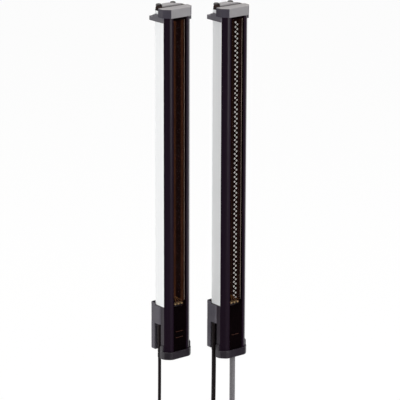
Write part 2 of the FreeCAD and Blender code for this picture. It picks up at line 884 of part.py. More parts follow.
def cable_set(bar, number, spec):
    """The strain relief, the cable and the plug of one of the stick's cables."""
    tag = "" if number == 0 else "_2"
    x, y = spec["exit"]
    foot = spec["foot"]
    cable_sleeve(bar, "cable_sleeve" + tag, (x, y), spec["roof"], foot, spec["sleeve"] / 2)
    points = [(x, y, foot)] + [(x + a, y + b, foot + c) for a, b, c in spec["bends"]]
    cable(bar, "cable" + tag, points, spec["diameter"])
    end_x, end_y, end_z = points[-1]
    hang = (end_x, end_y)
    plug_tail(bar, "plug_body" + tag, hang, end_z, spec["diameter"])
    plug_nut(bar, "plug_nut" + tag, hang, end_z)
    plug_insert(bar, "plug_insert" + tag, hang, end_z)
    plug_pins(bar, "plug_pins" + tag, hang, end_z, spec["contacts"])


def build(bar, chips):
    housing_profile(bar)
    front_frame(bar)
    front_window(bar)
    optics_carrier(bar)
    lens_strip(bar)
    circuit_board(bar)
    beam_chips(bar, chips)
    status_light_guide(bar)
    top_end_cap(bar)
    top_seal(bar)
    screws(bar, "cap_screws", bar_height, profile_top - d.screw_length)
    mounting_clamp(bar)
    cables = CABLES[bar.name]
    outlets = [(spec["exit"], spec["sleeve"] / 2) for spec in cables[1:]]
    bottom_end_cap(bar, outlets)
    bottom_seal(bar, outlets)
    connector_housing(bar)
    connector_seal(bar)
    screws(bar, "connector_screws", d.tail_base + d.sink_depth, profile_foot + d.screw_length)
    for number, spec in enumerate(cables):
        cable_set(bar, number, spec)


def check(parts):
    """Stops before anything is written if a feature failed or a shape is bad."""
    for feature in doc.Objects:
        if "Invalid" in feature.State or "Error" in feature.State:
            raise RuntimeError("%s failed: %s" % (feature.Name, feature.State))
    for part in parts:
        if part.Shape.isNull() or not part.Shape.isValid() or not part.Shape.Solids:
            raise RuntimeError("%s has no valid solid" % part.Label)


sub_parts = []
build(Bar("sender", Size(0), Size(0)), "emitters")
build(Bar("receiver", d.receiver_across, d.receiver_forward), "photodiodes")
doc.recompute()
check(sub_parts)

os.makedirs("parts", exist_ok=True)
for part in sub_parts:
    part.Shape.exportStep("parts/%s.step" % part.Label)
print("sub-parts", len(sub_parts), "solids", sum(len(p.Shape.Solids) for p in sub_parts))
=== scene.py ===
"""Light curtain set: a sender stick and a receiver stick, hung by their clamps, with their cables."""

import bmesh
import bpy
import math
from mathutils import Matrix, Vector


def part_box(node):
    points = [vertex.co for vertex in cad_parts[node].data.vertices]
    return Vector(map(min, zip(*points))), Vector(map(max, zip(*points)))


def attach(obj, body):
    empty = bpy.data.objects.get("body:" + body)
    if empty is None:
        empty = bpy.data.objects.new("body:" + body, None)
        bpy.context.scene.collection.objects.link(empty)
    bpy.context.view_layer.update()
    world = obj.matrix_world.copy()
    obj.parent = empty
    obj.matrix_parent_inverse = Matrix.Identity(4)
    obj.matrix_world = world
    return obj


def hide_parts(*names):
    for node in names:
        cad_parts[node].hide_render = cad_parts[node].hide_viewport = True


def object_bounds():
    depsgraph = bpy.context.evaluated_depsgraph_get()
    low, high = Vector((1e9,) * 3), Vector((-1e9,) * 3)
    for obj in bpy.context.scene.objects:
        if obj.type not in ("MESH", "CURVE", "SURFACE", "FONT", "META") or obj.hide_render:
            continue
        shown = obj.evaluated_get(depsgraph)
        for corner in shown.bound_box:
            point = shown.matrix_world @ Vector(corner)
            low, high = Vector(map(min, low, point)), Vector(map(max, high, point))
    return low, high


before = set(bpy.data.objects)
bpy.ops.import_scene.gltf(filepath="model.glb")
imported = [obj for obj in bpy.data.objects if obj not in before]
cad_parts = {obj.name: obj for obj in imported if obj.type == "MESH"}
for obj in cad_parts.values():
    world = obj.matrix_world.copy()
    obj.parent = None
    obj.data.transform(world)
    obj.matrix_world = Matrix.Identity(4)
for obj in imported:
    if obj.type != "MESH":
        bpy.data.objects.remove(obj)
cad_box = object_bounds()
MM = 0.001


# --- Camera -----------------------------------------------------------------------------------------

SENSOR_WIDTH = 36.0
LENS = 228.3
CAMERA_PLACE = (-1561.1, -2005.9, 916.2)  # from the sender's zero, in millimetres
CAMERA_RIGHT = (0.7845, -0.6201, 0.0024)
CAMERA_BACK = (-0.5958, -0.7527, 0.2801)


class Stick:
    """One of the two sticks. Its pieces are drawn in millimetres from its own zero, which is at the
    middle of its width, at its front plane and at the underside of its foot cap."""

    def __init__(self, name):
        self.name = name
        low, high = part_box(name + "_front_frame")
        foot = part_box(name + "_bottom_end_cap")[0]
        self.origin = Vector(((low[0] + high[0]) / 2, low[1], foot[2]))

    def at(self, x, y, z):
        return self.origin + Vector((x, y, z)) * MM


def link_new(name, data):
    """A new object in the scene that shows the data."""
    new = bpy.data.objects.new(name, data)
    bpy.context.collection.objects.link(new)
    return new


def studio_camera():
    data = bpy.data.cameras.new("studio")
    data.sensor_width = SENSOR_WIDTH
    data.lens = LENS
    camera = link_new("studio", data)
    right = Vector(CAMERA_RIGHT).normalized()
    behind = Vector(CAMERA_BACK).normalized()
    up = behind.cross(right).normalized()
    right = up.cross(behind)
    turn = Matrix((right, up, behind)).transposed().to_4x4()
    camera.matrix_world = Matrix.Translation(Stick("sender").at(*CAMERA_PLACE)) @ turn
    bpy.context.scene.camera = camera


# --- Shared effects ---------------------------------------------------------------------------------

GRAIN_SCALE = 4200.0
CLOUD_SCALE = 70.0
LINE_SCALE = (6500, 6500, 9)
BAND_SCALE = (420, 420, 2.2)
MASK_LOW, MASK_HIGH = 0.3, 0.7


def effect(name, outputs):
    """A node group that takes the two ends of a range of roughness and gives the named numbers."""
    group = bpy.data.node_groups.new(name, "ShaderNodeTree")
    for label in ("Sheen Low", "Sheen High"):
        group.interface.new_socket(label, in_out="INPUT", socket_type="NodeSocketFloat")
    for label in outputs:
        group.interface.new_socket(label, in_out="OUTPUT", socket_type="NodeSocketFloat")
    return group, group.nodes.new("NodeGroupInput"), group.nodes.new("NodeGroupOutput")


def noise(tree, place, scale, detail, roughness):
    node = tree.nodes.new("ShaderNodeTexNoise")
    node.inputs["Scale"].default_value = scale
    node.inputs["Detail"].default_value = detail
    node.inputs["Roughness"].default_value = roughness
    tree.links.new(place, node.inputs["Vector"])
    return node.outputs["Fac"]


def stretched(tree, scale):
    """Object coordinates, scaled differently along each axis."""
    coordinates = tree.nodes.new("ShaderNodeTexCoord")
    mapping = tree.nodes.new("ShaderNodeMapping")
    mapping.inputs["Scale"].default_value = scale
    tree.links.new(coordinates.outputs["Object"], mapping.inputs["Vector"])
    return mapping.outputs["Vector"]


def sheen(group, start, mask):
    """Roughness between the group's two ends, by a mask."""
    node = group.nodes.new("ShaderNodeMapRange")
    node.inputs["From Min"].default_value = MASK_LOW
    node.inputs["From Max"].default_value = MASK_HIGH
    group.links.new(mask, node.inputs["Value"])
    group.links.new(start.outputs["Sheen Low"], node.inputs["To Min"])
    group.links.new(start.outputs["Sheen High"], node.inputs["To Max"])
    return node.outputs["Result"]


def moulded_grain():
    """Spark-eroded grain of a moulding, with faint cloudy changes of sheen."""
    group, start, end = effect("moulded_grain", ("Roughness", "Height", "Cloud"))
    place = stretched(group, (1, 1, 1))
    grain = noise(group, place, GRAIN_SCALE, 2.0, 0.6)
    cloud = noise(group, place, CLOUD_SCALE, 3.0, 0.55)
    group.links.new(sheen(group, start, cloud), end.inputs["Roughness"])
    group.links.new(grain, end.inputs["Height"])
    group.links.new(cloud, end.inputs["Cloud"])
    return group


def drawn_lines():
    """Fine lines along the length of an extruded profile, with slow changes from line to line."""
    group, start, end = effect("drawn_lines", ("Roughness", "Height", "Band"))
    fine = noise(group, stretched(group, LINE_SCALE), 1.0, 2.0, 0.6)
    band = noise(group, stretched(group, BAND_SCALE), 1.0, 2.0, 0.5)
    group.links.new(sheen(group, start, fine), end.inputs["Roughness"])
    group.links.new(fine, end.inputs["Height"])
    group.links.new(band, end.inputs["Band"])
    return group


# --- Materials --------------------------------------------------------------------------------------

RELIEF_STRENGTH = 0.35
# Depths of a surface's relief, in metres.
GRAINED, DRAWN, SATIN, GLOSSY, POLISHED = 0.00004, 0.00002, 0.00001, 0.000004, 0.000002
MIX_FACTOR, MIX_DARK, MIX_LIGHT, MIX_RESULT = 0, 6, 7, 2  # the Mix node's colour sockets

# Each finish: its dark and its light colour, the range of its roughness, its relief, and the values
# that are the same all over it.
EXTRUSIONS = {
    "anodised": ((0.82, 0.835, 0.84), (0.89, 0.905, 0.91), (0.38, 0.48), DRAWN, {"Metallic": 0.32}),
    "frame_black": (
        (0.0060, 0.0024, 0.0064), (0.0105, 0.0045, 0.0115), (0.26, 0.36), DRAWN,
        {"Specular IOR Level": 0.22},
    ),
}
MOULDINGS = {
    "smoked_window": (
        (0.004, 0.0015, 0.0015), (0.006, 0.002, 0.002), (0.05, 0.09), POLISHED,
        {"Alpha": 0.27, "Specular IOR Level": 0.12},
    ),
    "print_black": (
        (0.0012, 0.0006, 0.0008), (0.0024, 0.0012, 0.0016), (0.08, 0.13), POLISHED,
        {"Specular IOR Level": 0.10},
    ),
    "cap_grey": (
        (0.152, 0.148, 0.154), (0.202, 0.197, 0.204), (0.42, 0.55), GRAINED, {"Specular IOR Level": 0.3}
    ),
    # A darker copy of the cap's grey: painted shade on the cap's sides and chamfers.
    "cap_painted_shade": (
        (0.034, 0.030, 0.041), (0.054, 0.049, 0.063), (0.36, 0.48), GRAINED, {"Specular IOR Level": 0.2}
    ),
    "foot_black": (
        (0.012, 0.009, 0.013), (0.020, 0.016, 0.022), (0.30, 0.42), GRAINED, {"Specular IOR Level": 0.55}
    ),
    "clamp_grey": (
        (0.080, 0.076, 0.088), (0.120, 0.114, 0.130), (0.42, 0.55), GRAINED, {"Specular IOR Level": 0.3}
    ),
    "housing_grey": (
        (0.058, 0.053, 0.066), (0.100, 0.094, 0.112), (0.38, 0.50), GRAINED, {"Specular IOR Level": 0.3}
    ),
    # A darker copy of the housing's grey: painted shade on its front cheeks.
    "housing_painted_shade": (
        (0.020, 0.015, 0.021), (0.034, 0.027, 0.036), (0.38, 0.50), GRAINED, {"Specular IOR Level": 0.3}
    ),
    "seal_rubber": ((0.012, 0.012, 0.012), (0.022, 0.022, 0.022), (0.7, 0.85), GRAINED, {}),
    "steel": ((0.20, 0.20, 0.205), (0.28, 0.28, 0.285), (0.30, 0.42), SATIN, {"Metallic": 1.0}),
    "screw_black": ((0.030, 0.028, 0.028), (0.050, 0.046, 0.045), (0.32, 0.45), SATIN, {"Metallic": 0.7}),
    "inner_black": (
        (0.006, 0.0015, 0.001), (0.010, 0.003, 0.002), (0.6, 0.75), GRAINED, {"Specular IOR Level": 0.05}
    ),
    "inner_brown": (
        (0.060, 0.017, 0.005), (0.105, 0.036, 0.011), (0.5, 0.65), GRAINED, {"Specular IOR Level": 0.1}
    ),
    "inner_umber": (
        (0.014, 0.005, 0.003), (0.026, 0.010, 0.006), (0.5, 0.65), GRAINED, {"Specular IOR Level": 0.1}
    ),
    "inner_tan": (
        (0.58, 0.46, 0.38), (0.70, 0.58, 0.48), (0.45, 0.6), GRAINED, {"Specular IOR Level": 0.2}
    ),
    "inner_ochre": (
        (0.14, 0.062, 0.020), (0.21, 0.096, 0.034), (0.5, 0.65), GRAINED, {"Specular IOR Level": 0.1}
    ),
    # White that stands for the gloss on the receiver's lens domes: a painted highlight.
    "lens_painted_highlight": ((0.90, 0.90, 0.88), (0.97, 0.97, 0.95), (0.12, 0.2), GLOSSY, {}),
    "lens_dark": ((0.010, 0.006, 0.006), (0.020, 0.012, 0.012), (0.08, 0.16), GLOSSY, {}),
    "light_pipe": ((0.86, 0.56, 0.28), (0.95, 0.66, 0.36), (0.3, 0.4), GRAINED, {}),
    "faint_mark": ((0.03, 0.010, 0.006), (0.05, 0.018, 0.010), (0.3, 0.4), GRAINED, {}),
    "board_green": ((0.010, 0.075, 0.035), (0.016, 0.11, 0.05), (0.25, 0.4), GRAINED, {}),
    "chip": ((0.35, 0.31, 0.25), (0.5, 0.45, 0.38), (0.3, 0.45), GRAINED, {}),
    "clear": ((0.7, 0.7, 0.7), (0.8, 0.8, 0.8), (0.08, 0.14), GLOSSY, {}),
    "cable_black": (
        (0.005, 0.0025, 0.003), (0.008, 0.004, 0.005), (0.42, 0.50), POLISHED, {"Specular IOR Level": 0.18}
    ),
    # The cable's own dark colour, lifted to a grey that holds a painted highlight.
    "cable_grey": ((0.105, 0.100, 0.106), (0.140, 0.135, 0.142), (0.22, 0.30), POLISHED, {}),
    "plug_black": ((0.014, 0.014, 0.015), (0.026, 0.026, 0.027), (0.4, 0.55), GRAINED, {}),
    "nickel": ((0.58, 0.56, 0.52), (0.70, 0.68, 0.64), (0.18, 0.30), SATIN, {"Metallic": 1.0}),
    "gold": ((0.75, 0.55, 0.22), (0.85, 0.66, 0.30), (0.2, 0.3), SATIN, {"Metallic": 1.0}),
}


def plain_finish(name, color, values):
    """A material whose Principled shader has its constant values on its own sockets."""
    material = bpy.data.materials.new(name)
    material.use_nodes = True
    material.diffuse_color = (*color, 1.0)
    shader = material.node_tree.nodes["Principled BSDF"]
    shader.inputs["Base Color"].default_value = (*color, 1.0)
    for label, value in values.items():
        shader.inputs[label].default_value = value
    return material, shader


def surface_finish(name, group, mask, row):
    """A material with an effect's sheen and relief, whose colour goes from dark to light with its mask."""
    dark, light, roughness, relief, values = row
    material, shader = plain_finish(name, light, values)
    tree = material.node_tree
    node = tree.nodes.new("ShaderNodeGroup")
    node.node_tree = group
    node.inputs["Sheen Low"].default_value, node.inputs["Sheen High"].default_value = roughness
    tree.links.new(node.outputs["Roughness"], shader.inputs["Roughness"])
    bump = tree.nodes.new("ShaderNodeBump")
    bump.inputs["Strength"].default_value = RELIEF_STRENGTH
    bump.inputs["Distance"].default_value = relief
    tree.links.new(node.outputs["Height"], bump.inputs["Height"])
    tree.links.new(bump.outputs["Normal"], shader.inputs["Normal"])
    mix = tree.nodes.new("ShaderNodeMix")
    mix.data_type = "RGBA"
    mix.inputs[MIX_DARK].default_value = (*dark, 1.0)
    mix.inputs[MIX_LIGHT].default_value = (*light, 1.0)
    tree.links.new(node.outputs[mask], mix.inputs[MIX_FACTOR])
    tree.links.new(mix.outputs[MIX_RESULT], shader.inputs["Base Color"])
    return material


def make_finishes():
    """Every finish of the set, by the name that the pieces ask for."""
    made = {}
    for group, mask, table in ((drawn_lines(), "Band", EXTRUSIONS), (moulded_grain(), "Cloud", MOULDINGS)):
        for name, row in table.items():
            made[name] = surface_finish(name, group, mask, row)
    return made


FINISH = make_finishes()


# --- Mesh work --------------------------------------------------------------------------------------

SHARP_ANGLE = math.radians(38.0)
QUARTER_TURN = Matrix.Rotation(math.pi / 2, 4, "X")  # lays what is drawn flat upright, facing the front

# Heights on a stick, in millimetres.
STICK_FOOT = 3.4  # of the frame and the window
BLOCK_FOOT = 7.5
OUTLET_TOP = 37.5
BLOCK_TOP = 57.3
PROFILE_FOOT = 58.1
INNER_TOP = 375.2  # of the profile, the frame and the window
CAP_TOP = 378.6
NEAR = 0.1  # how far from a level a vertex still counts as lying in it

CHEEK = 17.0  # half the profile's width
BEHIND_WINDOW = 2.05


def both_sides(points):
    """The points and their mirror images, so that they close one outline."""
    return list(points) + [(-x, y) for x, y in reversed(points)]


def only(grown, kind):
    """The vertices, edges or faces among what an operator gives back."""
    return [part for part in grown if isinstance(part, kind)]


def spanning(grown, verts):
    """The edges among what an operator gives back that run between the given vertices."""
    return [edge for edge in only(grown, bmesh.types.BMEdge) if all(vert in verts for vert in edge.verts)]


def prism(bm, outline, low, high, axis="z", finish=0):
    """Extrudes an outline from low to high along an axis. Returns its new faces."""
    spots = {
        "z": lambda a, b: (a, b, low),
        "y": lambda a, b: (a, low, b),
        "x": lambda a, b: (low, a, b),
    }[axis]
    step = Vector((axis == "x", axis == "y", axis == "z")) * (high - low)
    base = bm.faces.new([bm.verts.new(spots(a, b)) for a, b in outline])
    grown = bmesh.ops.extrude_face_region(bm, geom=[base], use_keep_orig=True)["geom"]
    tips = only(grown, bmesh.types.BMVert)
    bmesh.ops.translate(bm, vec=step, verts=tips)
    faces = {base}
    for vert in tips:
        faces.update(vert.link_faces)
    faces = list(faces)
    bmesh.ops.recalc_face_normals(bm, faces=faces)
    for face in faces:
        face.material_index = finish
    return faces


def block(bm, low, high, finish=0):
    """A rectangular bar between two corners."""
    outline = [(low[0], low[1]), (high[0], low[1]), (high[0], high[1]), (low[0], high[1])]
    return prism(bm, outline, low[2], high[2], "z", finish)


def edges_where(faces, test):
    """Edges of the faces whose two ends both pass the test."""
    found = set()
    for face in faces:
        for edge in face.edges:
            if all(test(vert.co) for vert in edge.verts):
                found.add(edge)
    return list(found)


def square(bm, corners):
    """A closed loop of edges through four corners."""
    verts = [bm.verts.new(corner) for corner in corners]
    return [bm.edges.new((verts[k], verts[(k + 1) % 4])) for k in range(4)]


def soften(bm, edges, size, segments=3):
    """Rounds edges."""
    bmesh.ops.bevel(
        bm, geom=edges, offset=size, segments=segments, profile=0.5, affect="EDGES", material=-1,
        clamp_overlap=True,
    )


def upright(edge):
    """Whether an edge rises or falls."""
    return abs(edge.verts[0].co.z - edge.verts[1].co.z) > 0.01


def lathe(bm, outline, centre, steps):
    """Turns an outline of (radius, height) pairs about a vertical axis."""
    x, y = centre
    verts = [bm.verts.new((x + r, y, z)) for r, z in outline]
    edges = [bm.edges.new(pair) for pair in zip(verts, verts[1:])]
    before = set(bm.faces)
    bmesh.ops.spin(
        bm, geom=verts + edges, cent=(x, y, 0), axis=(0, 0, 1), angle=2 * math.pi, steps=steps,
        use_merge=True, use_duplicate=False,
    )
    faces = [face for face in bm.faces if face not in before]
    verts = list({vert for face in faces for vert in face.verts})
    bmesh.ops.remove_doubles(bm, verts=verts, dist=0.0005)
    faces = [face for face in bm.faces if face not in before]
    bmesh.ops.recalc_face_normals(bm, faces=faces)
    return faces


def make_piece(stick, label, bm, finishes, node):
    """Moves the drawn mesh to its place in the set and makes it a piece."""
    bmesh.ops.transform(
        bm, matrix=Matrix.Translation(stick.origin) @ Matrix.Scale(MM, 4), verts=bm.verts
    )
    name = "%s_%s" % (stick.name, label)
    mesh = bpy.data.meshes.new(name)
    bm.to_mesh(mesh)
    bm.free()
    mesh.shade_smooth()
    mesh.set_sharp_from_angle(angle=SHARP_ANGLE)
    for finish in finishes:
        mesh.materials.append(FINISH[finish])
    piece = link_new(name, mesh)
    even = piece.modifiers.new("even_normals", "WEIGHTED_NORMAL")
    even.keep_sharp = True
    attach(piece, "root")
    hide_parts("%s_%s" % (stick.name, node))
    return piece


# --- Housing ----------------------------------------------------------------------------------------

def profile(stick):
    """Anodised profile: a U open to the front, with a T groove in its back."""
    outline = both_sides(
        [
            (15.2, 5.5), (CHEEK, 5.5), (CHEEK, 20.1), (10.5, 27.0), (3.1, 27.0), (3.1, 25.6),
            (5.2, 25.6), (5.2, 23.2),
        ]
    )
    outline += [(-15.2, 19.6), (-13.4, 21.4), (13.4, 21.4), (15.2, 19.6)]
    bm = bmesh.new()
    faces = prism(bm, outline, PROFILE_FOOT, INNER_TOP)
    outer = [e for e in edges_where(faces, lambda p: p.y > 5.4 and abs(p.x) > 10) if upright(e)]
    outer = [e for e in outer if abs(e.verts[0].co.x) > 15.3 or e.verts[0].co.y > 26.9]
    soften(bm, outer, 0.5)
    groove = [e for e in edges_where(bm.faces, lambda p: p.y > 26.9 and abs(p.x) < 3.2) if upright(e)]
    soften(bm, groove, 0.3, 2)
    return make_piece(stick, "profile", bm, ["anodised"], "housing_profile")


def front_surround(stick):
    """Black frame: on each side a chamfer and a lip that holds the window, and a bridge at each end."""
    rail = [
        (CHEEK, 5.5), (11.5, 0.0), (8.5, 0.0), (8.5, 0.6), (9.75, 0.6), (9.75, BEHIND_WINDOW),
        (10.0, BEHIND_WINDOW), (10.0, 5.5),
    ]
    bm = bmesh.new()
    for side in (1, -1):
        faces = prism(bm, [(side * x, y) for x, y in rail], STICK_FOOT, INNER_TOP)
        nose = [e for e in edges_where(faces, lambda p: p.y < 0.01) if upright(e)]
        outer = [e for e in nose if abs(e.verts[0].co.x) > 11]
        soften(bm, outer, 2.5, 6)
        inner = edges_where(bm.faces, lambda p: p.y < 0.01 and abs(p.x) < 8.6)
        soften(bm, [e for e in inner if upright(e)], 0.2, 2)
    for low, high in ((STICK_FOOT, 12.0), (366.0, INNER_TOP)):
        block(bm, (-10.0, BEHIND_WINDOW, low), (10.0, 5.5, high))
    return make_piece(stick, "front_surround", bm, ["frame_black"], "front_frame")


CLEAR_LOW, CLEAR_HIGH, CLEAR_SIDE = 57.2, 366.2, 7.6
WINDOW_FRONT = 0.6
FAINT_LINES = {"sender": (23.2, 29.8), "receiver": (24.6,)}
LINE_ENDS = (-5.2, 4.6)
LINE_HALF = 0.25


def window(stick):
    """Smoked window with a black printed border and an opaque foot with two faint lines."""
    bm = bmesh.new()
    block(bm, (-9.7, WINDOW_FRONT, STICK_FOOT), (9.7, 2.0, INNER_TOP))
    lines = FAINT_LINES[stick.name]
    across = [-CLEAR_SIDE, LINE_ENDS[0], LINE_ENDS[1], CLEAR_SIDE]
    up = [CLEAR_LOW, CLEAR_HIGH] + [z + side * LINE_HALF for z in lines for side in (-1, 1)]
    cuts = [((x, 0, 0), (1, 0, 0)) for x in across] + [((0, 0, z), (0, 0, 1)) for z in up]
    for spot, normal in cuts:
        everything = list(bm.verts) + list(bm.edges) + list(bm.faces)
        bmesh.ops.bisect_plane(bm, geom=everything, plane_co=spot, plane_no=normal)
    for face in bm.faces:
        middle = face.calc_center_median()
        clear = abs(middle.x) < CLEAR_SIDE and CLEAR_LOW < middle.z < CLEAR_HIGH
        on_line = any(abs(middle.z - z) < LINE_HALF for z in lines)
        inside = LINE_ENDS[0] < middle.x < LINE_ENDS[1] and middle.y < WINDOW_FRONT + NEAR
        face.material_index = 2 if on_line and inside else (0 if clear else 1)
    finishes = ["smoked_window", "print_black", "faint_mark"]
    return make_piece(stick, "window", bm, finishes, "front_window")


# --- Optics -----------------------------------------------------------------------------------------

PITCH = 5.0
ROWS = 60
COLUMN = 1.2  # how far a column of lenses lies from the middle
FIRST_BEAM = 65.3
LENS_FRONT = 2.16
LENS_STEPS = 12
# A lens, from its bore's edge to its tip: radius, and how far it steps back from the ring before it.
LENS_RINGS = ((1.11, 0.08), (1.08, 0.0), (0.9, -0.06), (0.6, -0.04), (0.3, -0.02))
BORE_RADIUS = 1.12
PLATE_BACK = 4.1
OPTICS_FOOT, OPTICS_TOP = 62.3, 365.8
LIGHT_PLACES = (-4.2, 0.0, 4.2)


def lens_cell(bm, x, z, finish):
    """One cell of the lens plate: the plate around a round bore, the bore's wall and its lens."""
    left, right, low, high = x - COLUMN, x + COLUMN, z - PITCH / 2, z + PITCH / 2
    around = [(left, low), (right, low), (right, high), (left, high)]
    outer = square(bm, [(a, LENS_FRONT, b) for a, b in around])
    facing = Matrix.Translation((x, LENS_FRONT, z)) @ QUARTER_TURN
    ring = bmesh.ops.create_circle(
        bm, cap_ends=False, segments=LENS_STEPS, radius=BORE_RADIUS, matrix=facing
    )["verts"]
    front = list({edge for vert in ring for edge in vert.link_edges})
    bmesh.ops.bridge_loops(bm, edges=outer + front)
    for radius, depth in LENS_RINGS:
        grown = bmesh.ops.extrude_edge_only(bm, edges=front)["geom"]
        verts = only(grown, bmesh.types.BMVert)
        front = spanning(grown, verts)
        for vert in verts:
            aim = Vector((vert.co.x - x, vert.co.z - z)).normalized() * radius
            vert.co = Vector((x + aim.x, vert.co.y + depth, z + aim.y))
        for face in only(grown, bmesh.types.BMFace):
            face.material_index = 0 if depth > 0 else finish
    tip = bmesh.ops.contextual_create(bm, geom=front)["faces"]
    for face in tip:
        face.material_index = finish


def optics(stick, painted_highlight):
    """Lens plate with two staggered columns of lenses, and the bands that run beside them."""
    bm = bmesh.new()
    lens_cell(bm, -COLUMN, FIRST_BEAM + PITCH / 2, 1)
    lens_cell(bm, COLUMN, FIRST_BEAM, 1)
    one_row = list(bm.verts) + list(bm.edges) + list(bm.faces)
    for row in range(1, ROWS):
        copy = bmesh.ops.duplicate(bm, geom=one_row)["geom"]
        verts = only(copy, bmesh.types.BMVert)
        bmesh.ops.translate(bm, vec=(0, 0, PITCH * row), verts=verts)
    bmesh.ops.recalc_face_normals(bm, faces=bm.faces)
    plate = [
        face for face in bm.faces
        if face.material_index == 0 and abs(face.calc_center_median().y - LENS_FRONT) < 0.01
    ]
    if sum(face.normal.y for face in plate) > 0:
        bmesh.ops.reverse_faces(bm, faces=list(bm.faces))

    foot, top = OPTICS_FOOT, OPTICS_TOP
    cell_side, carrier_side, wall_side = 2 * COLUMN, 9.6, 8.0
    last_beam = FIRST_BEAM + PITCH * (ROWS - 1)
    plates = [
        (-carrier_side, -cell_side, foot, top),
        (cell_side, carrier_side, foot, top),
        (-cell_side, 0.0, foot, FIRST_BEAM),
        (0.0, cell_side, foot, FIRST_BEAM - PITCH / 2),
        (0.0, cell_side, last_beam + PITCH / 2, top),
        (-cell_side, 0.0, last_beam + PITCH, top),
    ]
    for left, right, low, high in plates:
        block(bm, (left, LENS_FRONT, low), (right, PLATE_BACK, high), 0)
    for left, right in ((-carrier_side, -wall_side), (wall_side, carrier_side)):
        block(bm, (left, PLATE_BACK, foot), (right, 11.0, top), 0)
    # The bands beside the lenses and the pale strip, each with its front and its finish.
    bands = [(-7.2, -3.9, foot + 7, 2.11, 2), (2.7, 5.9, foot, 2.11, 2), (7.0, 8.1, foot, BEHIND_WINDOW, 3)]
    for left, right, low, front, finish in bands:
        block(bm, (left, front, low), (right, LENS_FRONT, top), finish)
    # Faint rays that rise to the left, one from each light pipe.
    for k, x in enumerate(LIGHT_PLACES):
        head_x, head_z = -6.2 + 1.05 * k, foot + 7.2 - 0.504 * k
        ray = [(x, foot), (x + 1.0, foot), (head_x + 0.9, head_z), (head_x, head_z)]
        prism(bm, ray, 2.07, LENS_FRONT, "y", 4)
    # The receiver's lenses take the white that is a painted highlight, and umber bands; the sender's lenses
    # are dark, with brown bands.
    lens, band = ("lens_painted_highlight", "inner_umber") if painted_highlight else ("lens_dark", "inner_brown")
    finishes = ["inner_black", lens, band, "inner_tan", "inner_ochre"]
    return make_piece(stick, "optics", bm, finishes, "optics_carrier")


def status_lights(stick):
    """Three light pipes in a row above the window's opaque foot, on their own foot."""
    bm = bmesh.new()
    block(bm, (-6.2, 9.4, 57.9), (6.2, 11.0, 61.9), 1)
    for x in LIGHT_PLACES:
        facing = Matrix.Translation((x, 5.77, 59.9)) @ QUARTER_TURN
        bmesh.ops.create_cone(
            bm, cap_ends=True, segments=20, radius1=1.0, radius2=0.95, depth=7.26, matrix=facing
        )
    finishes = ["light_pipe", "inner_black"]
    return make_piece(stick, "status_lights", bm, finishes, "status_light_guide")


# --- Caps and clamp ---------------------------------------------------------------------------------

CAP_CORNERS = [(12.25, -1.8), (18.79, 4.75)]
MOUTH_CORNERS = [(11.5, -0.05), (17.05, 5.48)]
CAP_PLATE = 2.6
TOP_CAP_FOOT, TOP_CAP_DEPTH, TOP_MOUTH_DEPTH = 369.4, 12.4, 11.0
FOOT_CAP_TOP, FOOT_CAP_DEPTH, FOOT_MOUTH_DEPTH = 8.2, 10.9, 9.6


def to_depth(corners, depth):
    """Closes the corners of one side, at the given depth, with their mirror images."""
    return both_sides(corners + [(corners[-1][0], depth)])


def hood(bm, depth, mouth_depth, low, high, up):
    """A cap's body: its outline, hollowed from the side that the stick enters. If up, that is its
    underside."""
    faces = prism(bm, to_depth(CAP_CORNERS, depth), low, high)
    mouth_height = low if up else high
    mouth = [f for f in faces if all(abs(v.co.z - mouth_height) < 0.01 for v in f.verts)][0]
    bmesh.ops.delete(bm, geom=[mouth], context="FACES_ONLY")
    rim = [e for e in bm.edges if e.is_boundary]
    inset = [bm.verts.new((x, y, mouth_height)) for x, y in to_depth(MOUTH_CORNERS, mouth_depth)]
    count = len(inset)
    loop = [bm.edges.new((inset[k], inset[(k + 1) % count])) for k in range(count)]
    bmesh.ops.bridge_loops(bm, edges=rim + loop)
    grown = bmesh.ops.extrude_edge_only(bm, edges=loop)["geom"]
    verts = only(grown, bmesh.types.BMVert)
    hollow = high - low - CAP_PLATE
    bmesh.ops.translate(bm, vec=(0, 0, hollow if up else -hollow), verts=verts)
    bmesh.ops.contextual_create(bm, geom=spanning(grown, verts))
    bmesh.ops.recalc_face_normals(bm, faces=bm.faces)


def lies_at(vert, spot):
    """Whether a vertex lies at a spot of the outline, or at its mirror image."""
    return math.hypot(abs(vert.co.x) - spot[0], vert.co.y - spot[1]) < 0.05


def is_inner(edge, mouth_depth):
    """Whether the edge belongs to the mouth that a cap's stick enters, or joins it to the rim."""
    spots = MOUTH_CORNERS + [(MOUTH_CORNERS[-1][0], mouth_depth)]
    return any(lies_at(vert, spot) for vert in edge.verts for spot in spots)


def outer_corners(bm):
    """The four upright edges between a cap's front, chamfers and sides."""
    return [
        edge for edge in bm.edges
        if upright(edge)
        and any(all(lies_at(vert, spot) for vert in edge.verts) for spot in CAP_CORNERS)
    ]


